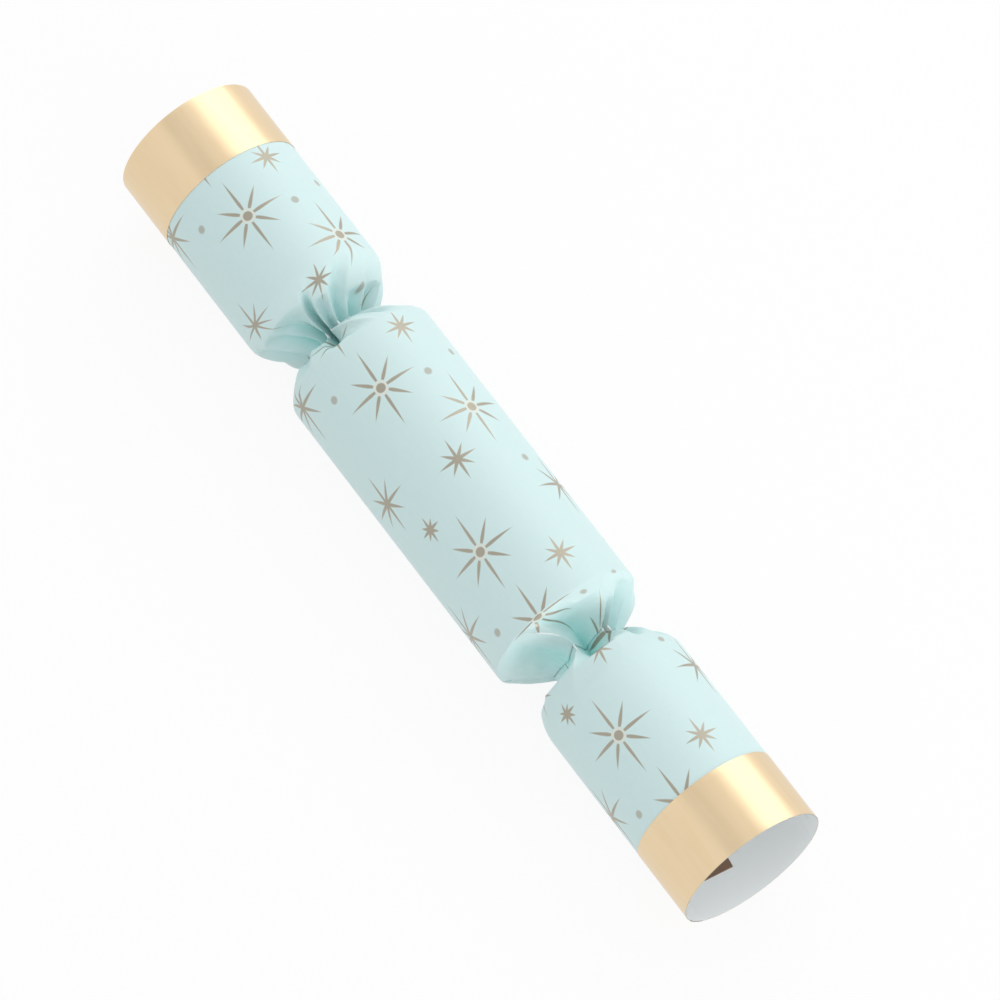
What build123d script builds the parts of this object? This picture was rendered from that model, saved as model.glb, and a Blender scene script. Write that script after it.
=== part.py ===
from build123d import *
import os
from math import atan2, cos, hypot, pi, radians, sin, sqrt

# A pull-apart table cracker lying on its side, in millimetres.
# X runs along the cracker, +Z is up, and the origin is under its middle, on the table.

# Card tube that keeps the barrel round
TUBE_OUTER_RADIUS = 22.6
TUBE_WALL = 0.6
BARREL_LENGTH = 97.0

# Printed paper wrapper, torn along a perforated line beside each waist
PAPER = 0.3
WRAP_GAP = 0.1
END_RADIUS = 22.0
END_LENGTH = 66.0
NECK_LENGTH = 20.5
TEAR_FROM_BARREL = 9.5
WAIST_FROM_BARREL = 11.5
SHOULDER_TAPER = 3.0
SHOULDER_DROP = 0.7
SHOULDER_LIP = 0.15

# Gathers of each neck: folds that stand out to the ridges and in to the valleys
PLEAT_COUNT = 9
RIDGE_DEPTH = 4.6
PLEAT_SWAY = 0.26
PLEAT_SWAY_STEP = 2.3
RIDGE_SWAY = 0.09
RIDGE_SWAY_STEP = 1.7

# Foil band glued round the open mouth of each end
BAND_WIDTH = 22.0
BAND_FOIL = 0.12
BAND_GLUE = 0.02

# Snap: two card strips that overlap in the barrel, each held by its own end
STRIP_WIDTH = 10.0
STRIP_CARD = 0.4
SNAP_OVERLAP = 30.0
TAIL_RISE = 7.4
TAIL_TILT = -20.0
TAIL_GAP = 0.2
WAIST_GRIP_GAP = 0.15
NECK_CLEARANCE = 0.3
PATCH_LENGTH = 11.0
PATCH_WIDTH = 5.0
PATCH_COAT = 0.15
PATCH_GAP = 0.1
PATCH_INSET = 3.0
SLEEVE_LENGTH = 34.0
SLEEVE_PAPER = 0.15
SLEEVE_CLEARANCE = 0.1

# Contents, loose on the floor of the tube
CONTENT_GAP = 0.1
CONTENT_MARGIN = 2.0
HAT_LENGTH = 46.0
HAT_RADIUS = 6.8
HAT_TISSUE = 0.55
HAT_PITCH = 1.05
HAT_TURNS = 4
HAT_POINT_DEPTH = 8.0
HAT_POINTS = 2
ELASTIC_THICKNESS = 0.8
ELASTIC_WIDTH = 1.6
SLIP_LENGTH = 40.0
SLIP_PAPER = 0.2
SLIP_START = 30.0
SLIP_SPAN = 55.0
TOP_RADIUS = 12.0
TOP_RIM = 2.6
TOP_DOME = 2.2
TOP_HUB_RADIUS = 4.0
SPINDLE_RADIUS = 1.5
SPINDLE_FIT = 0.02
SPINDLE_HANDLE = 5.5
KNOB_RADIUS = 2.2
KNOB_LENGTH = 2.4

# Places along the cracker
BARREL_RADIUS = TUBE_OUTER_RADIUS + WRAP_GAP + PAPER
AXIS_HEIGHT = BARREL_RADIUS
TUBE_INNER_RADIUS = TUBE_OUTER_RADIUS - TUBE_WALL
SHOULDER_X = BARREL_LENGTH / 2
TEAR_X = SHOULDER_X + TEAR_FROM_BARREL
WAIST_X = SHOULDER_X + WAIST_FROM_BARREL
END_START_X = SHOULDER_X + NECK_LENGTH
MOUTH_X = END_START_X + END_LENGTH

# Half heights of the snap, measured from its sliding plane on the cracker's axis
STRIP_INNER = PATCH_GAP / 2 + PATCH_COAT
STRIP_OUTER = STRIP_INNER + STRIP_CARD
SLEEVE_HALF_WIDTH = STRIP_WIDTH / 2 + SLEEVE_CLEARANCE + SLEEVE_PAPER
SLEEVE_TOP = STRIP_OUTER + SLEEVE_CLEARANCE + SLEEVE_PAPER
SNAP_REACH = hypot(SLEEVE_HALF_WIDTH, SLEEVE_TOP)

# The folds close on the snap: the tear line lets its sleeve through, the waist grips its strip
TEAR_VALLEY = SNAP_REACH + NECK_CLEARANCE
WAIST_VALLEY = hypot(STRIP_WIDTH / 2, STRIP_OUTER) + WAIST_GRIP_GAP


def across(x):
    """Sketch plane square to the cracker at x, with its first axis along Y and its second along Z."""
    return Plane(origin=(x, 0, AXIS_HEIGHT), x_dir=(0, 1, 0), z_dir=(1, 0, 0))


def polar(radius, angle):
    return (radius * cos(radians(angle)), radius * sin(radians(angle)))


def fold_angles():
    """Angles of the fold lines, ridge then valley, unevenly spaced round the neck."""
    pitch = 180.0 / PLEAT_COUNT
    return [
        pitch * (i + PLEAT_SWAY * sin(PLEAT_SWAY_STEP * i))
        for i in range(2 * PLEAT_COUNT)
    ]


def shoulder_points(radius):
    """Points round a shoulder: one on each fold line, and one halfway to the next."""
    angles = fold_angles()
    points = []
    for angle, following in zip(angles, angles[1:] + [angles[0] + 360.0]):
        points += [polar(radius, angle), polar(radius, (angle + following) / 2)]
    return points


def gathered_points(valley):
    """Folded outline whose valleys touch one circle and whose ridges stand out unevenly."""
    points = []
    for i, angle in enumerate(fold_angles()):
        is_ridge = i % 2 == 0
        sway = 1 + RIDGE_SWAY * sin(RIDGE_SWAY_STEP * i)
        points.append(polar(valley + (RIDGE_DEPTH * sway if is_ridge else 0), angle))
    return points


def flat_face(*corners):
    return Face(Wire.make_polygon(corners, close=True))


def gathers_at(x, valley):
    return [across(x).from_local_coords(point) for point in gathered_points(valley)]


def folded_waist(start_x, start_valley, end_x, end_valley):
    """Solid stretch of gathers between two outlines, two triangles between each two fold lines."""
    first = gathers_at(start_x, start_valley)
    last = gathers_at(end_x, end_valley)
    faces = [flat_face(*first), flat_face(*last)]
    for i in range(len(first)):
        following = (i + 1) % len(first)
        faces += [
            flat_face(first[i], first[following], last[i]),
            flat_face(first[following], last[following], last[i]),
        ]
    return Solid(Shell(faces))


def folded_cone(shoulder_x, radius, gather_x, valley):
    """Solid cone of flat paper folds, three triangles between each two fold lines."""
    rim = [across(shoulder_x).from_local_coords(point) for point in shoulder_points(radius)]
    folds = gathers_at(gather_x, valley)
    faces = [flat_face(*rim), flat_face(*folds)]
    for i, fold in enumerate(folds):
        next_fold = folds[(i + 1) % len(folds)]
        here, halfway, there = rim[2 * i], rim[2 * i + 1], rim[(2 * i + 2) % len(rim)]
        faces += [
            flat_face(here, halfway, fold),
            flat_face(halfway, next_fold, fold),
            flat_face(halfway, there, next_fold),
        ]
    return Solid(Shell(faces))


def fold_skin(valley):
    """How far the outside of a fold lies beyond its inside, measured away from the axis."""
    half_pitch = pi / PLEAT_COUNT
    ridge = valley + RIDGE_DEPTH
    inward = ridge - valley * cos(half_pitch)
    aside = valley * sin(half_pitch)
    return PAPER / sin(atan2(aside, inward) + half_pitch / 2)


def rod(start, end, radius):
    return extrude(across(start) * Circle(radius), end - start)


def ring(start, end, outer, inner):
    return extrude(across(start) * (Circle(outer) - Circle(inner)), end - start)


def slab(start, end, low_u, high_u, low_n, high_n):
    """Flat bar along the snap, from its edges along Y and from the sliding plane."""
    size = (high_u - low_u, high_n - low_n)
    middle = ((low_u + high_u) / 2, (low_n + high_n) / 2)
    return extrude(across(start) * Pos(*middle) * Rectangle(*size), end - start)


def other_end(shape):
    """The same shape at the opposite end of the cracker."""
    return mirror(shape, about=Plane.YZ)


def barrel_body(radius, shoulder_x, valley, beyond):
    """Solid barrel with a gathered cone at both ends, carried on past the tear line."""
    cone = folded_cone(shoulder_x, radius - SHOULDER_LIP, TEAR_X, valley)
    if beyond:
        cone += folded_waist(TEAR_X, valley, TEAR_X + beyond, valley)
    return rod(-shoulder_x, shoulder_x, radius) + cone + other_end(cone)


def wrapper_barrel():
    outside = barrel_body(
        BARREL_RADIUS, SHOULDER_X, TEAR_VALLEY + fold_skin(TEAR_VALLEY), 0
    )
    inside = barrel_body(
        BARREL_RADIUS - PAPER, SHOULDER_X - PAPER, TEAR_VALLEY, PAPER
    )
    return outside - inside


def round_end(radius, start, mouth):
    """Solid tube of a right-hand end, turned about the axis, with a tapered shoulder at its start."""
    outline = Polyline(
        (start, 0),
        (start, radius - SHOULDER_DROP),
        (start + SHOULDER_TAPER, radius),
        (mouth, radius),
        (mouth, 0),
        close=True,
    )
    on_axis = Plane(origin=(0, 0, AXIS_HEIGHT), x_dir=(1, 0, 0), z_dir=(0, -1, 0))
    return revolve(on_axis * make_face(outline), Axis((0, 0, AXIS_HEIGHT), (1, 0, 0)))


def end_body(radius, shift, tear_valley, waist_valley, beyond):
    """Solid right-hand end, from the tear line over the waist and the shoulder to its mouth."""
    start = END_START_X + shift
    crease = radius - SHOULDER_DROP - SHOULDER_LIP
    neck = folded_waist(TEAR_X, tear_valley, WAIST_X, waist_valley)
    neck += folded_cone(start, crease, WAIST_X, waist_valley)
    if beyond:
        neck += folded_waist(TEAR_X - beyond, tear_valley, TEAR_X, tear_valley)
    return neck + round_end(radius, start, MOUTH_X + beyond)


def wrapper_right_end():
    outside = end_body(
        END_RADIUS,
        0,
        TEAR_VALLEY + fold_skin(TEAR_VALLEY),
        WAIST_VALLEY + fold_skin(WAIST_VALLEY),
        0,
    )
    inside = end_body(END_RADIUS - PAPER, PAPER, TEAR_VALLEY, WAIST_VALLEY, PAPER)
    return outside - inside


def gold_band_right():
    inner = END_RADIUS + BAND_GLUE
    return ring(MOUTH_X - BAND_WIDTH, MOUTH_X, inner + BAND_FOIL, inner)


def centre_tube():
    half = SHOULDER_X - PAPER - WRAP_GAP
    return ring(-half, half, TUBE_OUTER_RADIUS, TUBE_INNER_RADIUS)


def snap_strip_right():
    """Upper strip: flat through the barrel and waist, then slanting up to the mouth's wall."""
    half = STRIP_WIDTH / 2
    flat = slab(-SNAP_OVERLAP / 2, WAIST_X, -half, half, STRIP_INNER, STRIP_OUTER)
    wall = END_RADIUS - PAPER - TAIL_GAP
    edge = -sqrt(wall**2 - (TAIL_RISE + STRIP_CARD) ** 2)
    root = Pos(0, (STRIP_INNER + STRIP_OUTER) / 2) * Rectangle(STRIP_WIDTH, STRIP_CARD)
    tip = Pos(edge + half, TAIL_RISE + STRIP_CARD / 2) * Rectangle(STRIP_WIDTH, STRIP_CARD)
    tilted = across(MOUTH_X) * Rot(0, 0, TAIL_TILT)
    tail = loft([across(WAIST_X) * root, tilted * tip], ruled=True)
    return flat + tail


def rough_patch():
    """Rough coat under the upper strip, near the strip's inner end."""
    start = -SNAP_OVERLAP / 2 + PATCH_INSET
    half = PATCH_WIDTH / 2
    return slab(start, start + PATCH_LENGTH, -half, half, PATCH_GAP / 2, STRIP_INNER)


def lower_strip(shape):
    """The upper strip's shape turned over, so that it becomes the lower strip of the pair."""
    return shape.rotate(Axis((0, 0, AXIS_HEIGHT), (0, 1, 0)), 180)


def snap_sleeve():
    """Paper sleeve round the overlap, glued under the lower strip and loose over the upper one."""
    half = SLEEVE_LENGTH / 2
    inner = SLEEVE_HALF_WIDTH - SLEEVE_PAPER
    floor = -STRIP_OUTER
    case = slab(
        -half, half, -SLEEVE_HALF_WIDTH, SLEEVE_HALF_WIDTH, floor - SLEEVE_PAPER, SLEEVE_TOP
    )
    return case - slab(-half, half, -inner, inner, floor, SLEEVE_TOP - SLEEVE_PAPER)


def elastic_radius():
    return HAT_RADIUS + CONTENT_GAP + ELASTIC_THICKNESS


def hat_axis_drop():
    """Depth of the rolled hat's centre below the cracker's axis, with its elastic on the tube's floor."""
    return TUBE_INNER_RADIUS - CONTENT_GAP - elastic_radius()


def hat_start():
    return -(SHOULDER_X - PAPER - WRAP_GAP) + CONTENT_MARGIN


def paper_hat():
    """Tissue crown rolled into a scroll of half circles, with its points at one end."""
    arcs = 2 * HAT_TURNS
    core = HAT_RADIUS - HAT_TISSUE - HAT_PITCH / 2 * (arcs - 1)
    inner_side = []
    outer_side = []
    for i in range(arcs):
        radius = core + i * HAT_PITCH / 2
        centre = (0, 0 if i % 2 else -HAT_PITCH / 2)
        turn = -90 if i % 2 else 90
        inner_side.append(CenterArc(centre, radius, turn, 180))
        outer_side.append(CenterArc(centre, radius + HAT_TISSUE, turn, 180))
    caps = [
        Line(inner_side[0] @ 0, outer_side[0] @ 0),
        Line(inner_side[-1] @ 1, outer_side[-1] @ 1),
    ]
    scroll = make_face(inner_side + outer_side + caps)
    place = across(hat_start()) * Pos(0, -hat_axis_drop())
    roll = extrude(place * scroll, HAT_LENGTH)
    pitch = 2 * HAT_RADIUS / HAT_POINTS
    for i in range(HAT_POINTS):
        low = -HAT_RADIUS + i * pitch
        notch = Polyline(
            (0, low), (HAT_POINT_DEPTH, low + pitch / 2), (0, low + pitch), close=True
        )
        side = Plane(
            origin=(hat_start(), 2 * HAT_RADIUS, AXIS_HEIGHT - hat_axis_drop()),
            x_dir=(1, 0, 0),
            z_dir=(0, -1, 0),
        )
        roll -= extrude(side * make_face(notch), 4 * HAT_RADIUS)
    return roll


def elastic_band():
    middle = hat_start() + HAT_LENGTH / 2
    band = Circle(elastic_radius()) - Circle(elastic_radius() - ELASTIC_THICKNESS)
    place = across(middle - ELASTIC_WIDTH / 2) * Pos(0, -hat_axis_drop())
    return extrude(place * band, ELASTIC_WIDTH)


def motto_slip():
    """Paper slip curled against the tube's wall beside the hat."""
    outer = TUBE_INNER_RADIUS - CONTENT_GAP
    inner = outer - SLIP_PAPER
    start = -90 + SLIP_START
    sides = [
        CenterArc((0, 0), outer, start, SLIP_SPAN),
        CenterArc((0, 0), inner, start, SLIP_SPAN),
        Line(polar(inner, start), polar(outer, start)),
        Line(polar(inner, start + SLIP_SPAN), polar(outer, start + SLIP_SPAN)),
    ]
    middle = hat_start() + HAT_LENGTH / 2
    return extrude(across(middle - SLIP_LENGTH / 2) * make_face(sides), SLIP_LENGTH)


def top_drop():
    """Depth of the spinning top's flat base below the axis, with its rim wedged in the tube."""
    wall = TUBE_INNER_RADIUS - CONTENT_GAP
    return sqrt(wall**2 - TOP_RADIUS**2)


def turned(profile):
    """Lathe-turned piece of the top, from a profile of radius and height, by the right-hand end."""
    x = SHOULDER_X - PAPER - WRAP_GAP - CONTENT_MARGIN - TOP_RADIUS
    blank = revolve(Plane.XZ * make_face(Polyline(*profile, close=True)), Axis.Z)
    return Pos(x, 0, AXIS_HEIGHT - top_drop()) * blank


def gift_top_disc():
    bore = SPINDLE_RADIUS + SPINDLE_FIT
    return turned(
        [
            (bore, 0),
            (TOP_RADIUS, 0),
            (TOP_RADIUS, TOP_RIM),
            (TOP_HUB_RADIUS, TOP_RIM + TOP_DOME),
            (bore, TOP_RIM + TOP_DOME),
        ]
    )


def gift_top_spindle():
    """Spindle pressed through the disc, whose point just clears the tube's floor."""
    tip = TUBE_INNER_RADIUS - CONTENT_GAP - top_drop()
    handle = TOP_RIM + TOP_DOME + SPINDLE_HANDLE
    return turned(
        [
            (0, -tip),
            (SPINDLE_RADIUS, -tip + SPINDLE_RADIUS),
            (SPINDLE_RADIUS, handle - KNOB_LENGTH),
            (KNOB_RADIUS, handle - KNOB_LENGTH / 2),
            (SPINDLE_RADIUS, handle),
            (0, handle),
        ]
    )


def main():
    right_end = wrapper_right_end()
    right_band = gold_band_right()
    upper_strip = snap_strip_right()
    upper_patch = rough_patch()
    pieces = {
        "wrapper_barrel": wrapper_barrel(),
        "wrapper_left_end": other_end(right_end),
        "wrapper_right_end": right_end,
        "gold_band_left": other_end(right_band),
        "gold_band_right": right_band,
        "centre_tube": centre_tube(),
        "snap_strip_left": lower_strip(upper_strip),
        "snap_strip_right": upper_strip,
        "snap_powder_patch": lower_strip(upper_patch),
        "snap_rough_patch": upper_patch,
        "snap_sleeve": snap_sleeve(),
        "paper_hat": paper_hat(),
        "elastic_band": elastic_band(),
        "motto_slip": motto_slip(),
        "gift_top_disc": gift_top_disc(),
        "gift_top_spindle": gift_top_spindle(),
    }
    os.makedirs("parts", exist_ok=True)
    for name, piece in pieces.items():
        export_step(piece, f"parts/{name}.step")


main()
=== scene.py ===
from collections import namedtuple

import bpy
import numpy as np
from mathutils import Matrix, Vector, noise


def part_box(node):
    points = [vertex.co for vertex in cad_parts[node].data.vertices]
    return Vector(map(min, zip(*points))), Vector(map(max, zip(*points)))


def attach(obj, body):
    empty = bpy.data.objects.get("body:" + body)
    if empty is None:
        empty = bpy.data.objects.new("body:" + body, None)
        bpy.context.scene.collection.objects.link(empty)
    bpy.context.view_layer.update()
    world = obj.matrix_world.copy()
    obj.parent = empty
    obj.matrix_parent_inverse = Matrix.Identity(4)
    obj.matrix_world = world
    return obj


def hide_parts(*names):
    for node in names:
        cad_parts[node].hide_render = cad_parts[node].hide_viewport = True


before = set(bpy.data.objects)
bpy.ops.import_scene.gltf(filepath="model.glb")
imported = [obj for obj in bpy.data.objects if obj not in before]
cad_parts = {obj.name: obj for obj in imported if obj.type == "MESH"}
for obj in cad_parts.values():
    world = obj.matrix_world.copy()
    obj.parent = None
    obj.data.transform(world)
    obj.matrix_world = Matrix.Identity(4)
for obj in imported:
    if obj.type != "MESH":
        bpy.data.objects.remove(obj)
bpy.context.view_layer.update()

# A paper cracker lying on its side, in metres. X runs along it and +Z is up.
# Angles round it are in degrees from straight up, growing towards +Y.

MM = 0.001

# How far the wrapper's shoulders stand past the tube's ends, and where the shoulders of the ends are
SHOULDER_ROOM = 0.4 * MM
END_SHOULDER_X = 69.0 * MM

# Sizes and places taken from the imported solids
barrel_low, barrel_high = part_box("wrapper_barrel")
end_low, end_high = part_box("wrapper_right_end")
band_low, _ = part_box("gold_band_right")
_, tube_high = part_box("centre_tube")
AXIS_Z = (barrel_low.z + barrel_high.z) / 2
BARREL_RADIUS = (barrel_high.z - barrel_low.z) / 2
END_RADIUS = (end_high.z - end_low.z) / 2
MOUTH_X = end_high.x
BAND_START_X = band_low.x
SHOULDER_X = tube_high.x + SHOULDER_ROOM

# The photograph looks at the cracker from this far round it, towards -Y
VIEW_TURN = 14.64

# Thickness of the papers, and the air under the glued foil
PAPER = 0.12 * MM
FOIL = 0.1 * MM
FOIL_LIFT = 0.03 * MM

# The flat sheet: its width round the cracker, and its length from a shoulder to the choke and in the waist
CONE_PAPER = 18.5 * MM
WAIST_PAPER = 2.0 * MM

# The lap: where the sheet's second edge begins to cover its first, how far, how high and over what ramp
LAP_ANGLE = 226.0
LAP_SPAN = 20.0
LAP_RISE = 0.15 * MM
LAP_RAMP = 5.0

# Gathered paper: how far before the barrel's shoulder and past an end's shoulder it begins, the radius of
# its ridges and valleys at the choke, and the flattened hole that is left for the snap
BARREL_ROUND = 0.2 * MM
END_ROUND = 4.5 * MM
CHOKE_RIDGE = 12.5 * MM
CHOKE_VALLEY = 5.0 * MM
SLOT_HALF_WIDTH = 5.9 * MM
SLOT_HALF_HEIGHT = 2.2 * MM

# Where valley lines bend, from the shoulder to the choke: how far past the shoulder, and the radius there
BARREL_VALLEY = [(0.4 * MM, 17.0 * MM), (1.5 * MM, 5.5 * MM)]
END_VALLEY = [(2.5 * MM, 18.0 * MM), (0.5 * MM, 6.0 * MM)]

# How early valleys sink, by what share of a cone its facets lie flat, and how often creases are softened
SINK_POWER = 0.55
FLAT_FROM = 0.3
SOFTENING = 4

# The torn edges: how far out they are, and how far they stray, partly in teeth and partly in waves, over the
# last share of the barrel's cone
TEAR_X = 58.0 * MM
TEAR_JAG = 0.14 * MM
TEAR_TEETH = 90
TEETH_SHARE = 0.6
TEAR_WAVES = 7
TEETH_FROM = 0.7

# An end's torn edge tucks under the barrel's: how far, how deep, and by what share of the waist
TUCK = 0.9 * MM
TUCK_DEPTH = 0.25 * MM
TUCKED_BY = 0.7

# Handled paper: out of round in two and three lobes, dents and sharp crinkles where it is folded in, the
# pattern they follow, and how near the tear they fade out, so that both torn edges keep together
OVAL = 0.14 * MM
THREE_LOBED = 0.07 * MM
DENT_DEPTH = 0.3 * MM
DENT_SIZE = 5.0 * MM
CRINKLE_DEPTH = 0.35 * MM
CRINKLE_SIZE = 7.0 * MM
DENTED_BY_FOLD = 0.25
HANDLING = 0.3
TEAR_HOLD = 3.0 * MM

# Points that a sheet is drawn with: columns in a full turn, and rows along each stretch
COLUMNS = 540
BARREL_ROWS = 41
CONE_ROWS = 44
WAIST_ROWS = 6
END_ROWS = 32
BAND_ROWS = 12

# Angles of the sheet's columns, from its first edge to its second, which laps over the first
lapped_columns = int(COLUMNS * (1 + LAP_SPAN / 360.0)) + 1
SHEET_ANGLES = LAP_ANGLE - 360.0 + np.arange(lapped_columns) * 360.0 / COLUMNS


def ease(low, high, at):
    """Smooth step from 0 to 1 between two places."""
    share = np.clip((at - low) / (high - low), 0.0, 1.0)
    return share * share * (3 - 2 * share)


def around(angle):
    """Unit direction across the cracker at an angle from straight up: its Y and Z."""
    turn = np.radians(angle)
    return np.sin(turn), np.cos(turn)


# Fold lines of a gathered neck, in order round it. Angles are in degrees from the side that faces the
# photograph. Each line has its angle and start at the barrel's shoulder, its angle and depth at the choke,
# and its angle and start at the end's shoulder. A depth of 0 is a ridge and 1 a valley. A start is how far
# down the cone the line begins to sink, and a start below 0 is how much the line puffs out instead. Bulge
# is how far the paper from this line to the next keeps the round of the neck instead of lying flat, and
# swing is how many degrees the line strays sideways halfway down the barrel's cone.
Crease = namedtuple("Crease", "barrel barrel_start choke depth end end_start bulge swing", defaults=(0.0,))

# A neck: the side it is on, how far out its waist is, how far past each shoulder its ridges reach out, where
# they bow in (how far past the barrel's shoulder or the waist, and the radius there), and its fold lines
Neck = namedtuple("Neck", "sign waist_x barrel_reach barrel_bow end_reach end_bow creases")

LEFT_CREASES = [
    Crease(-112, 0.05, -108, 0.9, -108, 0.10, 0.4),
    Crease(-98, 0.00, -94, 0.1, -96, 0.00, 0.5),
    Crease(-86, 0.30, -80, 0.8, -82, 0.30, 0.4),
    Crease(-72, 0.00, -66, 0.1, -73, 0.00, 0.6),
    Crease(-58, 0.70, -52, 1.0, -66, 0.44, 0.3),
    Crease(-44, 0.00, -41, 0.4, -59, 0.20, 0.3),
    Crease(-30, 0.70, -30, 1.0, -52, 0.46, 1.0),
    Crease(-15, 0.10, -17, 0.25, -2, 0.50, 0.3),
    Crease(-6, 0.00, -12, 1.0, 2, 0.34, 0.1),
    Crease(28, -0.15, -6, 0.1, 6, 0.00, 0.1),
    Crease(32, 0.60, 3, 0.5, 14, 0.60, 0.1),
    Crease(36, -0.05, 9, 0.0, 24, 0.00, 0.0),
    Crease(46, 0.10, 17, 0.55, 36, 0.15, 0.0),
    Crease(55, -0.10, 28, 0.1, 47, 0.00, 0.6),
    Crease(64, 0.20, 42, 0.8, 62, 0.72, 0.6),
    Crease(74, 0.00, 55, 0.1, 70, 0.00, 0.3),
    Crease(82, 0.15, 70, 1.0, 80, 0.68, 0.4),
    Crease(93, 0.00, 84, 0.0, 92, 0.00, 0.4),
    Crease(104, 0.10, 99, 0.8, 104, 0.10, 0.4),
    Crease(117, 0.00, 114, 0.0, 115, 0.00, 0.5),
    Crease(128, 0.05, 130, 0.9, 130, 0.15, 0.3),
    Crease(142, -0.10, 143, 0.1, 146, 0.00, 0.6),
    Crease(160, 0.20, 157, 0.7, 158, 0.05, 0.4),
    Crease(170, 0.00, 171, 0.0, 168, -0.10, 0.4),
    Crease(186, 0.05, 186, 0.9, 190, 0.10, 0.5),
    Crease(202, -0.10, 200, 0.1, 204, 0.00, 0.5),
    Crease(214, 0.15, 214, 0.8, 214, 0.20, 0.4),
    Crease(232, 0.00, 232, 0.0, 230, -0.10, 0.6),
]
RIGHT_CREASES = [
    Crease(-106, 0.02, -106, 0.9, -106, 0.60, 0.9),
    Crease(-88, 0.00, -90, 0.2, -88, 0.50, 0.9),
    Crease(-66, 0.00, -76, 0.5, -74, 0.50, 0.8),
    Crease(-48, 0.02, -56, 0.9, -54, 0.60, 0.1, 9.0),
    Crease(-28, -0.14, -6, 0.0, -24, 0.00, 0.2),
    Crease(-14, 0.16, 14, 1.0, 8, 0.45, 0.3, -5.0),
    Crease(10, 0.42, 28, 0.7, 22, 0.50, 0.7),
    Crease(42, -0.10, 44, 0.1, 36, 0.10, 0.4),
    Crease(50, 0.60, 51, 0.6, 46, 0.30, 0.2),
    Crease(57, 0.00, 57, 0.1, 56, 0.05, 0.2),
    Crease(68, 0.30, 68, 1.0, 70, 0.18, 0.2),
    Crease(86, 0.00, 84, 0.2, 86, 0.00, 0.5),
    Crease(99, 0.05, 98, 0.9, 100, 0.15, 0.4),
    Crease(116, -0.10, 113, 0.0, 114, 0.00, 0.5),
    Crease(126, 0.20, 127, 0.7, 128, 0.10, 0.3),
    Crease(140, 0.00, 142, 0.1, 142, -0.10, 0.4),
    Crease(156, 0.05, 158, 1.0, 160, 0.20, 0.5),
    Crease(174, -0.10, 174, 0.0, 172, 0.00, 0.4),
    Crease(186, 0.10, 188, 0.8, 184, 0.15, 0.4),
    Crease(202, 0.00, 203, 0.1, 204, -0.10, 0.6),
    Crease(220, 0.15, 218, 0.9, 216, 0.05, 0.4),
    Crease(236, 0.00, 236, 0.1, 238, 0.00, 0.4),
]

LEFT_NECK = Neck(
    sign=-1,
    waist_x=59.5 * MM,
    barrel_reach=2.4 * MM,
    barrel_bow=(7.0 * MM, 20.0 * MM),
    end_reach=0.5 * MM,
    end_bow=(4.0 * MM, 19.5 * MM),
    creases=LEFT_CREASES,
)
RIGHT_NECK = Neck(
    sign=1,
    waist_x=60.0 * MM,
    barrel_reach=1.8 * MM,
    barrel_bow=(5.6 * MM, 19.4 * MM),
    end_reach=-1.0 * MM,
    end_bow=(1.8 * MM, 20.2 * MM),
    creases=RIGHT_CREASES,
)


def slot_radius(angle):
    """Radius of the flattened hole that the tight paper leaves for the snap."""
    side, up = around(angle)
    return (np.abs(side / SLOT_HALF_WIDTH) ** 4 + np.abs(up / SLOT_HALF_HEIGHT) ** 4) ** -0.25


def curve(points, share):
    """Point on a cubic curve through its first and last control points."""
    first, second, third, last = points
    left = 1 - share
    return first * left**3 + 3 * second * left**2 * share + 3 * third * left * share**2 + last * share**3


def soften(rows):
    """Rounds creases a little, over the columns beside each one."""
    for _ in range(SOFTENING):
        middle = (rows[:, :-2] + 2 * rows[:, 1:-1] + rows[:, 2:]) / 4
        rows = np.concatenate([rows[:, :1], middle, rows[:, -1:]], axis=1)
    return rows


def gathered(creases, side, ridge, valley):
    """Gathered paper from a shoulder to the choke: its points, and how far each is folded in.

    ridge and valley are the control points (along, radius) of the folds' outer and inner lines.
    """
    share = np.linspace(0.0, 1.0, CONE_ROWS)[:, None]
    ring = [creases[-1], *creases, creases[0]]
    turn = np.array([-360.0, *[0.0] * len(creases), 360.0]) - VIEW_TURN
    rim = np.array([getattr(crease, side) for crease in ring]) + turn
    choke = np.array([crease.choke for crease in ring]) + turn
    depth = np.array([crease.depth for crease in ring])
    start = np.array([getattr(crease, side + "_start") for crease in ring])
    bulge = np.array([crease.bulge for crease in ring])

    swing = np.array([crease.swing for crease in ring]) * (side == "barrel")
    line_angle = rim + (choke - rim) * ease(0.0, 1.0, share) + swing * np.sin(np.pi * share)
    begun = np.maximum(start, 0.0)
    puff = np.maximum(-start, 0.0) * np.sin(np.pi * share)
    sink = depth * np.clip((share - begun) / (1 - begun), 0.0, 1.0) ** SINK_POWER - puff
    out_x, out_radius = (curve(places, share) for places in zip(*ridge))
    in_x, in_radius = (curve(places, share) for places in zip(*valley))
    in_radius = in_radius + (slot_radius(line_angle) - CHOKE_VALLEY) * share**2
    line_x = out_x + (in_x - out_x) * sink
    line_radius = out_radius + (in_radius - out_radius) * sink
    line_side, line_up = around(line_angle)

    # Each column of the sheet lies on the facet from one line to the next
    turned = (SHEET_ANGLES - rim[1]) % 360.0 + rim[1]
    line = np.clip(np.searchsorted(rim, turned, side="right") - 1, 0, len(rim) - 2)
    across = (turned - rim[line]) / (rim[line + 1] - rim[line])

    def between(lines):
        return lines[:, line] + (lines[:, line + 1] - lines[:, line]) * across

    flat = (1 - bulge[line]) * ease(0.0, FLAT_FROM, share)
    round_side, round_up = around(between(line_angle))
    round_radius = between(line_radius)
    y = flat * between(line_radius * line_side) + (1 - flat) * round_radius * round_side
    z = flat * between(line_radius * line_up) + (1 - flat) * round_radius * round_up
    points = np.stack([between(line_x), y, AXIS_Z + z], axis=-1)
    return soften(points), soften(between(sink))


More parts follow.
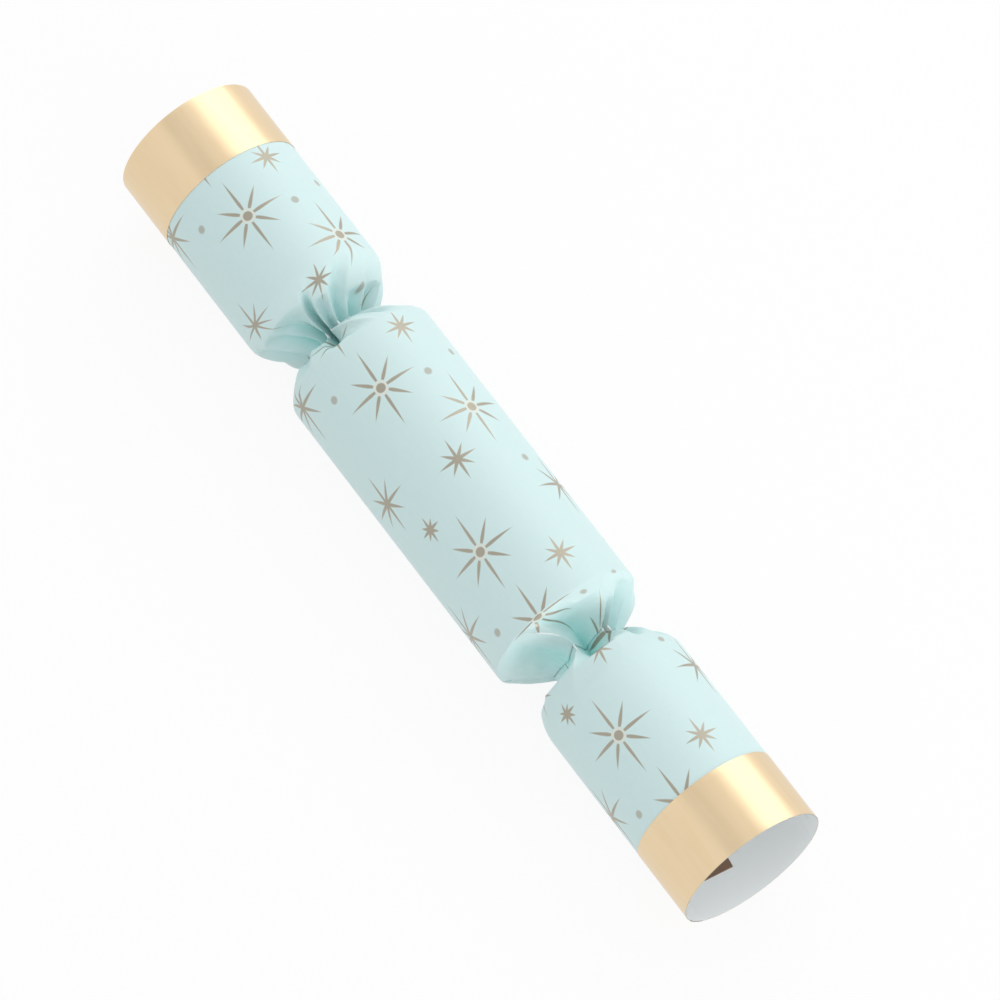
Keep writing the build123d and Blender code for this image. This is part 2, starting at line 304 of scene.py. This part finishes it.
def tear_offset():
    """How far the torn edge wanders along the cracker at each column."""
    tooth = np.abs((SHEET_ANGLES / 360.0 * TEAR_TEETH) % 1.0 - 0.5) * 4 - 1
    wave = np.sin(np.radians(SHEET_ANGLES * TEAR_WAVES))
    return TEAR_JAG * (TEETH_SHARE * tooth + (1 - TEETH_SHARE) * wave)


def round_paper(x, radius):
    """Rows of round paper at each x."""
    side, up = around(SHEET_ANGLES)
    rows = [np.stack([np.full_like(side, at), radius * side, AXIS_Z + radius * up], axis=-1) for at in x]
    return np.array(rows)


def barrel_cone(neck):
    """Points, folds and sheet places of the barrel's paper from one shoulder to its tear line."""
    sign = neck.sign
    ridge = [
        (sign * (SHOULDER_X - BARREL_ROUND), BARREL_RADIUS),
        (sign * (SHOULDER_X + neck.barrel_reach), BARREL_RADIUS),
        (sign * (SHOULDER_X + neck.barrel_bow[0]), neck.barrel_bow[1]),
        (sign * TEAR_X, CHOKE_RIDGE),
    ]
    valley = [
        (sign * (SHOULDER_X - BARREL_ROUND), BARREL_RADIUS),
        *((sign * (SHOULDER_X + past), radius) for past, radius in BARREL_VALLEY),
        (sign * TEAR_X, CHOKE_VALLEY),
    ]
    points, fold = gathered(neck.creases, "barrel", ridge, valley)
    along = np.linspace(SHOULDER_X - BARREL_ROUND, SHOULDER_X + CONE_PAPER, CONE_ROWS)
    torn = ease(TEETH_FROM, 1.0, np.linspace(0.0, 1.0, CONE_ROWS))[:, None]
    points[..., 0] += sign * tear_offset() * torn
    return points, fold, sign * along


def barrel_paper():
    """Points, folds and sheet places of the paper round the barrel, between the two tear lines."""
    left, left_fold, left_along = barrel_cone(LEFT_NECK)
    right, right_fold, right_along = barrel_cone(RIGHT_NECK)
    half = SHOULDER_X - BARREL_ROUND
    x = np.linspace(-half, half, BARREL_ROWS)[1:-1]
    middle = round_paper(x, BARREL_RADIUS)
    points = np.concatenate([left[::-1], middle, right])
    fold = np.concatenate([left_fold[::-1], np.zeros(middle.shape[:2]), right_fold])
    return points, fold, np.concatenate([left_along[::-1], x, right_along])


def end_paper(neck):
    """Points, folds and sheet places of one end's paper, from its tear line to its mouth."""
    sign = neck.sign
    start = END_SHOULDER_X + END_ROUND
    ridge = [
        (sign * start, END_RADIUS),
        (sign * (END_SHOULDER_X + neck.end_reach), END_RADIUS),
        (sign * (neck.waist_x + neck.end_bow[0]), neck.end_bow[1]),
        (sign * neck.waist_x, CHOKE_RIDGE),
    ]
    valley = [
        (sign * start, END_RADIUS),
        *((sign * (END_SHOULDER_X + past), radius) for past, radius in END_VALLEY),
        (sign * neck.waist_x, CHOKE_VALLEY),
    ]
    cone, fold = gathered(neck.creases, "end", ridge, valley)
    to_tear = np.linspace(0.0, 1.0, WAIST_ROWS)
    waist = np.repeat(cone[-1:], WAIST_ROWS, axis=0)
    waist[..., 0] = sign * (neck.waist_x + (TEAR_X - TUCK - neck.waist_x) * to_tear)[:, None]
    waist[..., 0] += sign * tear_offset() * to_tear[:, None]
    waist -= outward(waist) * (TUCK_DEPTH * ease(0.0, TUCKED_BY, to_tear))[:, None, None]
    waist_fold = np.repeat(fold[-1:], WAIST_ROWS, axis=0)
    tube_x = np.linspace(start, MOUTH_X, END_ROWS)[1:]
    tube = round_paper(sign * tube_x, END_RADIUS)
    points = np.concatenate([waist[::-1], cone[::-1][1:], tube])
    fold = np.concatenate([waist_fold, fold[::-1][1:], np.zeros(tube.shape[:2])])
    choke = SHOULDER_X + CONE_PAPER + WAIST_PAPER
    shoulder = SHOULDER_X + 2 * CONE_PAPER + END_ROUND
    along = np.concatenate([
        np.linspace(choke - WAIST_PAPER, choke, WAIST_ROWS),
        np.linspace(choke, shoulder, CONE_ROWS)[1:],
        shoulder + tube_x - start,
    ])
    return points, fold, sign * along


def outward(points):
    """Unit normals of a grid of points, pointing out of the cracker."""
    normal = np.cross(np.gradient(points, axis=0), np.gradient(points, axis=1))
    normal /= np.linalg.norm(normal, axis=-1, keepdims=True)
    away = points[..., 1] * normal[..., 1] + (points[..., 2] - AXIS_Z) * normal[..., 2]
    return normal if away.mean() > 0 else -normal


def dents(points):
    """Soft dents of handled paper, from -1 to 1."""
    flat = points.reshape(-1, 3) / DENT_SIZE + HANDLING
    return np.array([noise.noise(Vector(point)) for point in flat]).reshape(points.shape[:2])


def crinkles(points):
    """Sharp-edged dimples of handled paper, from 0 to 1."""
    flat = points.reshape(-1, 3) / CRINKLE_SIZE + HANDLING
    nearest = [noise.voronoi(Vector(point))[0] for point in flat]
    return np.array([min(second - first, 1.0) for first, second, *_ in nearest]).reshape(points.shape[:2])


def handled(points, fold):
    """The sheet with its lap, its slight out-of-round and the dents of handled paper."""
    turn = np.radians(SHEET_ANGLES)
    lap = LAP_RISE * ease(LAP_ANGLE - LAP_RAMP, LAP_ANGLE, SHEET_ANGLES)
    wobble = OVAL * np.sin(2 * turn + HANDLING) + THREE_LOBED * np.sin(3 * turn + 2 * HANDLING)
    crushed = DENT_DEPTH * dents(points) + CRINKLE_DEPTH * crinkles(points)
    folded_in = ease(0.0, DENTED_BY_FOLD, fold)
    free = ease(0.0, TEAR_HOLD, np.abs(np.abs(points[..., 0]) - TEAR_X))
    lift = lap + (wobble * (1 - folded_in) + crushed * folded_in) * free
    return points + outward(points) * lift[..., None]


def grid_mesh(name, points):
    """Mesh through a grid of points, its faces turned alike whichever way along X its rows run."""
    rows, columns = points.shape[:2]
    index = np.arange(rows * columns).reshape(rows, columns)
    quads = np.stack([index[:-1, :-1], index[1:, :-1], index[1:, 1:], index[:-1, 1:]], axis=-1)
    if points[0, 0, 0] > points[-1, 0, 0]:
        quads = quads[..., ::-1]
    mesh = bpy.data.meshes.new(name)
    mesh.from_pydata(points.reshape(-1, 3).tolist(), [], quads.reshape(-1, 4).tolist())
    mesh.shade_smooth()
    return mesh


def sheet_places(mesh, along, arc):
    """UV layer in millimetres of the flat sheet, so that the print follows the paper."""
    layer = mesh.uv_layers.new(name="sheet")
    corner = np.empty(len(mesh.loops), dtype=np.int32)
    mesh.loops.foreach_get("vertex_index", corner)
    flat = np.stack(np.broadcast_arrays(along, arc), axis=-1).reshape(-1, 2)[corner] / MM
    layer.data.foreach_set("uv", flat.astype(np.float32).ravel())


def fold_depths(mesh, fold):
    """How far each point is folded in, which the paper's finish reads to paint light into the folds."""
    layer = mesh.attributes.new("fold", "FLOAT", "POINT")
    layer.data.foreach_set("value", fold.astype(np.float32).ravel())


def sheet_piece(name, mesh, materials, thickness):
    """A thin piece with its finish and, where a second one is given, that one on its back."""
    piece = bpy.data.objects.new(name, mesh)
    bpy.context.scene.collection.objects.link(piece)
    for material in materials:
        mesh.materials.append(material)
    shell = piece.modifiers.new("thickness", "SOLIDIFY")
    shell.thickness = thickness
    shell.offset = -1.0
    shell.material_offset = len(materials) - 1
    shell.material_offset_rim = 0
    edges = piece.modifiers.new("edges", "WEIGHTED_NORMAL")
    edges.weight = 100
    return piece


class Value:
    """A shader socket that can stand in Python sums."""

    def __init__(self, shading, socket):
        self.shading = shading
        self.socket = socket

    def math(self, operation, *inputs):
        return self.shading.node("ShaderNodeMath", {"operation": operation}, dict(enumerate(inputs)))

    def __add__(self, other):
        return self.math("ADD", self, other)

    __radd__ = __add__

    def __sub__(self, other):
        return self.math("SUBTRACT", self, other)

    def __rsub__(self, other):
        return self.math("SUBTRACT", other, self)

    def __mul__(self, other):
        return self.math("MULTIPLY", self, other)

    __rmul__ = __mul__

    def __truediv__(self, other):
        return self.math("DIVIDE", self, other)

    def __rtruediv__(self, other):
        return self.math("DIVIDE", other, self)

    def __pow__(self, other):
        return self.math("POWER", self, other)

    def __abs__(self):
        return self.math("ABSOLUTE", self)

    def wrapped(self, period):
        return self.math("WRAP", self, period / 2, -period / 2)

    def least(self, other):
        return self.math("MINIMUM", self, other)

    def most(self, other):
        return self.math("MAXIMUM", self, other)

    def clamped(self):
        return self.math("MINIMUM", self.math("MAXIMUM", self, 0.0), 1.0)

    def root(self):
        return self.math("SQRT", self)

    def sine(self):
        return self.math("SINE", self)

    def other(self, output):
        """Another output of the same node."""
        return Value(self.shading, self.socket.node.outputs[output])


class Shading:
    """The nodes of one material, or of the world."""

    def __init__(self, owner, surface):
        owner.use_nodes = True
        self.owner = owner
        self.tree = owner.node_tree
        self.surface = self.tree.nodes[surface]

    def node(self, kind, settings=None, inputs=None, output=0):
        made = self.tree.nodes.new(kind)
        for key, value in (settings or {}).items():
            if key == "stops":
                ramp = made.color_ramp
                while len(ramp.elements) < len(value):
                    ramp.elements.new(0.5)
                for element, (at, colour) in zip(ramp.elements, value):
                    element.position = at
                    element.color = colour
            else:
                setattr(made, key, value)
        for key, value in (inputs or {}).items():
            self.fill(made.inputs[key], value)
        return Value(self, made.outputs[output])

    def fill(self, socket, value):
        if isinstance(value, Value):
            self.tree.links.new(value.socket, socket)
        else:
            socket.default_value = value

    def sockets(self, **values):
        for key, value in values.items():
            self.fill(self.surface.inputs[key.replace("_", " ")], value)

    def mix(self, factor, first, second):
        """Colour between two colours. The node's colour sockets share their names, so they go by number."""
        return self.node(
            "ShaderNodeMix", {"data_type": "RGBA"}, {0: factor, 6: first, 7: second}, output=2
        )

    def noise(self, scale, detail=3.0, vector=None, roughness=0.55):
        inputs = {"Scale": scale, "Detail": detail, "Roughness": roughness}
        if vector is not None:
            inputs["Vector"] = vector
        return self.node("ShaderNodeTexNoise", {}, inputs)

    def place(self):
        return self.node("ShaderNodeTexCoord", output="Object")

    def stretched(self, scale):
        return self.node("ShaderNodeMapping", {}, {"Vector": self.place(), "Scale": scale})

    def bump(self, height, strength, distance):
        return self.node(
            "ShaderNodeBump", {}, {"Height": height, "Strength": strength, "Distance": distance}
        )


def finish(name):
    """The nodes of a new material."""
    return Shading(bpy.data.materials.new(name), "Principled BSDF")


def colour(red, green, blue):
    """Linear colour from an sRGB one, given from 0 to 255."""
    def linear(level):
        share = level / 255.0
        return share / 12.92 if share <= 0.04045 else ((share + 0.055) / 1.055) ** 2.4

    return (linear(red), linear(green), linear(blue), 1.0)


# Print: dotted stars, plain stars with their lengths, and dots, on a tile that repeats over the flat sheet.
# Places are along the sheet and round the cracker, in millimetres.
TILE_ALONG = 81.5
TILE_ROUND = 72.25
PRINT_START = -31.0
DOTTED_STARS = [(0.0, 0.0), (18.0, 19.3), (55.1, -3.1)]
PLAIN_STARS = [
    (-14.4, -26.0, 12.0), (47.8, 32.3, 11.0), (24.7, -19.7, 9.5), (30.0, 6.3, 6.8),
    (-12.8, 15.2, 6.0), (40.0, -11.9, 4.2),
]
DOTS = [(3.0, 14.0), (-7.0, -13.4), (37.7, 25.3), (-1.4, 27.4)]

# A dotted star's rays reach from its pale ring to its tips, round a dot
STAR_LENGTH = 12.6
STAR_HOLLOW = 2.3
STAR_RING = 2.25
STAR_DOT = 1.4
DOT_RADIUS = 1.15

# Rays: half their width, the share of it they begin with and how fast they swell, the length of slanted rays
# against the straight ones, and how many times shorter those are that run round the cracker
RAY_HALF_WIDTH = 0.55
RAY_BEGINS = 0.7
RAY_SWELLS = 1.6
SLANTED_RAYS = 0.74
ROUND_RAYS_SHORTER = 1.14

# How far the ink's edge spreads, sharp on stars and soft on dots, and how strong dots and rings are
INK_EDGE = 0.22
DOT_EDGE = 0.5
DOT_STRENGTH = 0.72
RING_STRENGTH = 0.6


def ink(inside, spread=INK_EDGE):
    """Share of ink from the distance inside a printed edge."""
    return (inside / spread + 0.5).clamped()


def rays(reach, aside, start, length):
    """Ink of four rays, from the distance along the nearest ray and the distance beside it."""
    share = (reach - start) / (length - start)
    width = (share * RAY_SWELLS + RAY_BEGINS).least(1.0) * (1 - share * share)
    return ink(width * RAY_HALF_WIDTH - aside) * ink(reach - start)


def printed_stars(shading):
    """Masks of the printed ink: stars, dots and the pale ring round the dotted stars' middles."""
    along = shading.node("ShaderNodeSeparateXYZ", {}, {
        "Vector": shading.node("ShaderNodeUVMap", {"uv_map": "sheet"}),
    })
    over = along.other("Y")

    def offsets(place):
        dx = (along - (PRINT_START + place[0])).wrapped(TILE_ALONG)
        dy = (over - place[1]).wrapped(TILE_ROUND)
        return dx, dy

    def dot(dx, dy, radius, spread=INK_EDGE):
        return ink(radius - (dx * dx + dy * dy).root(), spread)

    def star(dx, dy, start, length):
        square = abs(dx), abs(dy) * ROUND_RAYS_SHORTER
        slanted = abs(dx + dy) * 0.5**0.5, abs(dx - dy) * 0.5**0.5
        drawn = 0.0
        for (one, other), reach in ((square, length), (slanted, length * SLANTED_RAYS)):
            drawn = rays(one.most(other), one.least(other), start, reach).most(drawn)
        return drawn

    stars = 0.0
    ring = 0.0
    dots = 0.0
    for place in DOTTED_STARS:
        dx, dy = offsets(place)
        stars = star(dx, dy, STAR_HOLLOW, STAR_LENGTH).most(dot(dx, dy, STAR_DOT)).most(stars)
        ring = dot(dx, dy, STAR_RING).most(ring)
    for *place, length in PLAIN_STARS:
        stars = star(*offsets(place), 0.0, length).most(stars)
    for place in DOTS:
        dots = dot(*offsets(place), DOT_RADIUS, DOT_EDGE).most(dots)
    return stars, dots, ring


def mint_paper():
    """Printed paper, with painted light deep in its folds: a brighter, stronger mint in place of light
    bounced between the folds.
    """
    shading = finish("mint_wrapper")
    stars, dots, ring = printed_stars(shading)
    tone = shading.noise(34.0, 3.0)
    fibre = shading.noise(2600.0, 4.0)
    crease = shading.node("ShaderNodeAttribute", {"attribute_name": "fold"}, output="Fac")
    paper = shading.mix(tone, colour(203, 228, 228), colour(209, 232, 232))
    # Painted light: deeper in the folds the colour turns a brighter, stronger mint, painted bounce light
    # that also lifts the folds out of their shade
    paper = shading.mix(crease.clamped() ** 1.4 * 0.9, paper, colour(200, 252, 249))
    paper = shading.mix(ring * RING_STRENGTH, paper, colour(224, 222, 206))
    printed = stars.most(dots * DOT_STRENGTH)
    height = fibre * 0.25 + stars * 0.2
    shading.sockets(
        Base_Color=shading.mix(printed, paper, colour(166, 160, 144)),
        Roughness=0.46 + fibre * 0.1 - stars * 0.12,
        Metallic=stars * 0.55,
        Coat_Weight=0.15,
        Coat_Roughness=0.3,
        Normal=shading.bump(height, 0.25, 0.05 * MM),
    )
    return shading.owner


def white_back():
    """Plain white back of the printed paper."""
    shading = finish("paper_back")
    fibre = shading.noise(1800.0, 5.0)
    shading.sockets(
        Base_Color=shading.mix(fibre, colour(244, 249, 250), colour(250, 253, 254)),
        Roughness=0.8,
        Normal=shading.bump(fibre, 0.3, 0.05 * MM),
    )
    return shading.owner


def gold_foil():
    """Foil with faint streaks along the cracker."""
    shading = finish("gold_foil")
    streak = shading.noise(60.0, 4.0, shading.stretched((1.0, 8.0, 8.0)))
    grain = shading.noise(3000.0, 3.0)
    shading.sockets(
        Base_Color=shading.mix(streak, colour(228, 203, 163), colour(235, 213, 178)),
        Metallic=1.0,
        Roughness=0.27 + streak * 0.08,
        Normal=shading.bump(grain * 0.3 + streak, 0.1, 0.06 * MM),
    )
    return shading.owner


def plain_card(name, dark, pale, roughness):
    """Card with its fibres along the strip."""
    shading = finish(name)
    fibre = shading.noise(900.0, 6.0, shading.stretched((0.35, 1.0, 1.0)))
    fleck = shading.noise(4200.0, 2.0)
    shading.sockets(
        Base_Color=shading.mix(fibre * 0.7 + fleck * 0.3, dark, pale),
        Roughness=roughness + fibre * 0.1,
        Normal=shading.bump(fibre, 0.35, 0.08 * MM),
    )
    return shading.owner


def gritty_coat(name, dark, pale, scale):
    """Rough coat of sharp grains."""
    shading = finish(name)
    grain = shading.noise(scale, 4.0, roughness=0.8)
    sharp = ((grain - 0.42) * 5).clamped()
    shading.sockets(
        Base_Color=shading.mix(sharp, dark, pale),
        Roughness=0.95 - sharp * 0.25,
        Normal=shading.bump(sharp, 0.8, 0.1 * MM),
    )
    return shading.owner


# Distance from one of the brass top's lathe rings to the next
LATHE_PITCH = 0.28 * MM


def turned_brass():
    """Brass with the fine rings that a lathe leaves."""
    shading = finish("gift_brass")
    low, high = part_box("gift_top_disc")
    split = shading.node("ShaderNodeSeparateXYZ", {}, {"Vector": shading.place()})
    aside = split - (low.x + high.x) / 2
    across = split.other("Y")
    radius = (aside * aside + across * across).root()
    ring = (radius * (2 * np.pi / LATHE_PITCH)).sine()
    tarnish = shading.noise(220.0, 4.0)
    shading.sockets(
        Base_Color=shading.mix(tarnish, colour(201, 164, 92), colour(222, 190, 122)),
        Metallic=1.0,
        Roughness=0.24 + tarnish * 0.16,
        Normal=shading.bump(ring, 0.15, 0.02 * MM),
    )
    return shading.owner


def crinkled_tissue():
    """Thin tissue with the fine creases of having been rolled up."""
    shading = finish("hat_tissue")
    crease = shading.noise(420.0, 5.0, shading.stretched((0.3, 1.0, 1.0)), roughness=0.7)
    cloud = shading.noise(150.0, 3.0)
    shading.sockets(
        Base_Color=shading.mix(cloud, colour(226, 178, 92), colour(238, 198, 120)),
        Roughness=0.72 + crease * 0.15,
        Normal=shading.bump(abs(crease - 0.5), 0.6, 0.2 * MM),
    )
    return shading.owner


def rubber():
    """Gum rubber with the grain of the knife that cut it."""
    shading = finish("elastic")
    grain = shading.noise(2400.0, 4.0, shading.stretched((1.0, 0.2, 0.2)))
    shading.sockets(
        Base_Color=shading.mix(grain, colour(178, 138, 88), colour(204, 166, 112)),
        Roughness=0.5 + grain * 0.2,
        Normal=shading.bump(grain, 0.4, 0.05 * MM),
    )
    return shading.owner


MINT = mint_paper()
BACK = white_back()
GOLD = gold_foil()
TISSUE = crinkled_tissue()
RUBBER = rubber()
SLIP = plain_card("motto_paper", colour(232, 224, 204), colour(244, 238, 222), 0.75)
BRASS = turned_brass()
STRIP = plain_card("snap_card", colour(104, 80, 64), colour(140, 114, 92), 0.7)

# Finishes of the pieces that are shown as the solids they are
solid_finishes = {
    "centre_tube": plain_card("tube_card", colour(150, 132, 108), colour(186, 168, 140), 0.8),
    "snap_sleeve": plain_card("sleeve_paper", colour(190, 168, 132), colour(212, 193, 158), 0.75),
    "snap_powder_patch": gritty_coat("snap_powder", colour(64, 62, 66), colour(110, 106, 104), 5200.0),
    "snap_rough_patch": gritty_coat("snap_grit", colour(96, 74, 60), colour(168, 140, 112), 3600.0),
    "snap_strip_left": STRIP,
    "snap_strip_right": STRIP,
    "gift_top_disc": BRASS,
    "gift_top_spindle": BRASS,
}
for node, material in solid_finishes.items():
    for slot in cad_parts[node].material_slots:
        slot.material = material


# How the print lies: its rise round the barrel per length along it, and its turn on the right end in degrees
BARREL_PRINT_SLANT = 0.053
RIGHT_PRINT_TURN = 9.5


def wrapper_piece(name, paper, radius, body, print_turn=0.0, print_slant=0.0):
    """One of the wrapper's three papers, with its print turned and slanted."""
    points, fold, along = paper
    mesh = grid_mesh(name, handled(points, fold))
    arc = np.radians(SHEET_ANGLES + VIEW_TURN + print_turn) * radius
    slant = print_slant * (along - PRINT_START * MM)
    sheet_places(mesh, along[:, None], arc[None, :] + slant[:, None])
    fold_depths(mesh, fold)
    piece = sheet_piece(name + "_paper", mesh, [MINT, BACK], PAPER)
    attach(piece, body)
    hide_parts(name)
    return piece


barrel = wrapper_piece(
    "wrapper_barrel", barrel_paper(), BARREL_RADIUS, "barrel", print_slant=BARREL_PRINT_SLANT
)
left_end = wrapper_piece("wrapper_left_end", end_paper(LEFT_NECK), END_RADIUS, "left_end")
right_end = wrapper_piece(
    "wrapper_right_end", end_paper(RIGHT_NECK), END_RADIUS, "right_end", print_turn=RIGHT_PRINT_TURN
)


def foil_band(sign, side):
    """Gold foil round one mouth."""
    x = sign * np.linspace(BAND_START_X, MOUTH_X, BAND_ROWS)
    points = round_paper(x, END_RADIUS + FOIL + FOIL_LIFT)
    mesh = grid_mesh("band", handled(points, np.zeros(points.shape[:2])))
    piece = sheet_piece(f"gold_band_{side}_foil", mesh, [GOLD], FOIL)
    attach(piece, side + "_end")
    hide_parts(f"gold_band_{side}")
    return piece


left_band = foil_band(-1, "left")
right_band = foil_band(1, "right")

# Party hat: one strip of tissue with points along an edge, rolled up tight and slack at its core
HAT_TISSUE = 0.12 * MM
HAT_TURNS = 8
HAT_CORE = 2.6 * MM
HAT_ROOM = 0.05 * MM
HAT_SLACK = 0.1 * MM
SLACK_WAVES = 2.3
POINT_DEPTH = 8.0 * MM
POINT_WIDTH = 22.0 * MM
HAT_TURN_COLUMNS = 48
HAT_ROWS = 16


def rolled_hat():
    """The hat as a spiral with its points cut to length along the tissue."""
    low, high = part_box("paper_hat")
    outer = (high.y - low.y) / 2 - HAT_ROOM
    share = np.linspace(0.0, 1.0, HAT_TURNS * HAT_TURN_COLUMNS + 1)
    angle = 360.0 * HAT_TURNS * share
    slack = HAT_SLACK * np.sin(np.radians(angle * SLACK_WAVES)) * (1 - share)
    radius = HAT_CORE + (outer - HAT_CORE) * share + slack
    side, up = around(angle)
    run = np.cumsum(radius) * np.radians(angle[1])
    cut = POINT_DEPTH * np.abs((run / POINT_WIDTH) % 1.0 - 0.5) * 2
    row = np.linspace(0.0, 1.0, HAT_ROWS)[:, None]
    x = low.x + cut + (high.x - low.x - cut) * row
    y = np.broadcast_to(radius * side, x.shape)
    z = np.broadcast_to((low.z + high.z) / 2 + radius * up, x.shape)
    points = np.stack([x, y, z], axis=-1)
    piece = sheet_piece("paper_hat_tissue", grid_mesh("hat", points), [TISSUE], HAT_TISSUE)
    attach(piece, "barrel")
    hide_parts("paper_hat")


# Elastic band round the hat, with points across its thickness and round its loop
ELASTIC_HALF_THICK = 0.38 * MM
ELASTIC_ACROSS = 17
ELASTIC_ROUND = 97


def squared(wave):
    """A wave of a circle's side made fuller, towards a square's."""
    return np.sign(wave) * np.abs(wave) ** 0.5


def elastic_loop():
    """The elastic as a closed loop with rounded corners."""
    low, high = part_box("elastic_band")
    centre_x = (low.x + high.x) / 2
    centre_z = (low.z + high.z) / 2
    outer = (high.y - low.y) / 2
    half_width = (high.x - low.x) / 2
    turn = np.linspace(0.0, 2 * np.pi, ELASTIC_ACROSS)[:, None]
    side, up = around(np.linspace(0.0, 360.0, ELASTIC_ROUND))
    x = centre_x + half_width * squared(np.cos(turn))
    radius = outer - ELASTIC_HALF_THICK + ELASTIC_HALF_THICK * squared(np.sin(turn))
    points = np.stack(np.broadcast_arrays(x, radius * side, centre_z + radius * up), axis=-1)
    mesh = grid_mesh("loop", points)
    mesh.materials.append(RUBBER)
    piece = bpy.data.objects.new("elastic_band_loop", mesh)
    bpy.context.scene.collection.objects.link(piece)
    weld = piece.modifiers.new("closed", "WELD")
    weld.merge_threshold = 0.001 * MM
    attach(piece, "barrel")
    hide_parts("elastic_band")


# Motto: a small slip that lies curled against the tube, its sides lifting more towards one end
SLIP_PAPER = 0.11 * MM
SLIP_RADIUS = 21.85 * MM
SLIP_ANGLES = (95.0, 150.0)
SLIP_LIFT = 0.6 * MM
SLIP_LIFT_X = (-40.0 * MM, 0.0)
SLIP_COLUMNS = 40
SLIP_ROWS = 30


def motto_sheet():
    """The motto's slip, bent to the tube."""
    low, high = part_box("motto_slip")
    angle = np.linspace(*SLIP_ANGLES, SLIP_COLUMNS)
    row = np.linspace(low.x, high.x, SLIP_ROWS)[:, None]
    lift = SLIP_LIFT * ease(0.7, 1.0, np.abs(np.linspace(-1.0, 1.0, SLIP_COLUMNS)))
    radius = SLIP_RADIUS - lift * ease(*SLIP_LIFT_X, row)
    side, up = around(angle)
    x = np.broadcast_to(row, radius.shape)
    points = np.stack([x, radius * side, AXIS_Z + radius * up], axis=-1)
    piece = sheet_piece("motto_slip_paper", grid_mesh("slip", points), [SLIP], SLIP_PAPER)
    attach(piece, "barrel")
    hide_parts("motto_slip")


elastic_loop()
rolled_hat()
motto_sheet()

# Camera fitted to the photograph's view: its place, the way it looks, and its lens and sensor in millimetres
CAMERA_PLACE = (0.6751, -0.4637, 1.7981)
CAMERA_LOOKS = (-0.34185, 0.2410, -0.9083)
CAMERA_LENS = 255.7
CAMERA_SENSOR = 36.0
CAMERA_REACH = 50.0


def placed(name, data, place, looks):
    """A camera or a lamp at a place, facing the way it looks."""
    holder = bpy.data.objects.new(name, data)
    holder.location = place
    holder.rotation_mode = "QUATERNION"
    holder.rotation_quaternion = Vector(looks).to_track_quat("-Z", "Y")
    bpy.context.scene.collection.objects.link(holder)
    return holder


camera = bpy.data.cameras.new("camera")
camera.lens = CAMERA_LENS
camera.sensor_width = CAMERA_SENSOR
camera.clip_end = CAMERA_REACH
bpy.context.scene.camera = placed("camera", camera, CAMERA_PLACE, CAMERA_LOOKS)


def softbox(name, place, aim, size, power):
    """A soft rectangular lamp."""
    lamp = bpy.data.lights.new(name, "AREA")
    lamp.shape = "RECTANGLE"
    lamp.size, lamp.size_y = size
    lamp.energy = power
    placed(name, lamp, place, Vector(aim) - Vector(place))


softbox("key_softbox", (-0.45, 0.85, 0.62), aim=(0, 0, AXIS_Z), size=(1.25, 1.1), power=4.7)
softbox("mouth_softbox", (0.95, 0.1, 0.22), aim=(0.05, 0, AXIS_Z), size=(0.5, 0.4), power=3.0)

# The level of the even light all round
AMBIENT = 0.79

# Brightness of the studio walls and ceiling in reflections, across the cracker from -Y to +Y
STUDIO_STRIPES = [
    (0.00, 0.95), (0.10, 0.98), (0.20, 1.05), (0.28, 0.80),
    (0.40, 0.84), (0.50, 0.96), (0.92, 0.86), (1.00, 0.96),
]

# Windows past both ends of the cracker, which folds mirror: added brightness, where they begin, how sharply
END_WINDOWS = 0.45
WINDOW_EDGE = 0.62
WINDOW_SHARPNESS = 5


def studio_world():
    """White for the camera, striped for reflections, and even soft light for the rest."""
    world = bpy.data.worlds.new("studio")
    bpy.context.scene.world = world
    shading = Shading(world, "Background")
    seen = shading.node("ShaderNodeLightPath", output="Is Camera Ray")
    glossy = seen.other("Is Glossy Ray").most(seen.other("Is Transmission Ray"))
    across = shading.node("ShaderNodeSeparateXYZ", {}, {"Vector": shading.place()}, output="Y")
    stops = [(at, (level, level, level, 1.0)) for at, level in STUDIO_STRIPES]
    stripes = shading.node("ShaderNodeValToRGB", {"stops": stops}, {"Fac": across * 0.5 + 0.5})
    walls = shading.node("ShaderNodeSeparateXYZ", {}, {"Vector": stripes})
    windows = ((abs(across.other("X")) - WINDOW_EDGE) * WINDOW_SHARPNESS).clamped()
    reflected = walls + windows * END_WINDOWS
    level = AMBIENT * (1 - seen) * (1 - glossy) + seen + glossy * reflected
    shading.sockets(Color=(1.0, 1.0, 1.0, 1.0), Strength=level)


studio_world()

# Floor: half its width, and how much of its white is its own
FLOOR_HALF = 6.0
FLOOR_GLOW = 0.9


def floor_sheet():
    """White floor that keeps a soft shadow."""
    mesh = bpy.data.meshes.new("floor")
    corners = [(x * FLOOR_HALF, y * FLOOR_HALF, 0) for x, y in ((-1, -1), (1, -1), (1, 1), (-1, 1))]
    mesh.from_pydata(corners, [], [(0, 1, 2, 3)])
    floor = bpy.data.objects.new("floor", mesh)
    bpy.context.scene.collection.objects.link(floor)
    shading = finish("floor_white")
    shading.sockets(Base_Color=(0.9, 0.9, 0.9, 1.0), Roughness=0.9)
    seen = shading.node("ShaderNodeLightPath", output="Is Camera Ray")
    bright = seen.most(seen.other("Is Glossy Ray")).most(seen.other("Is Transmission Ray"))
    glow = shading.node("ShaderNodeEmission", {}, {"Color": (1.0, 1.0, 1.0, 1.0), "Strength": 1.0})
    matt = Value(shading, shading.surface.outputs[0])
    mixed = shading.node("ShaderNodeMixShader", {}, {0: bright * FLOOR_GLOW, 1: matt, 2: glow})
    shading.fill(shading.tree.nodes["Material Output"].inputs["Surface"], mixed)
    mesh.materials.append(shading.owner)


floor_sheet()
bpy.context.scene.view_settings.view_transform = "Standard"
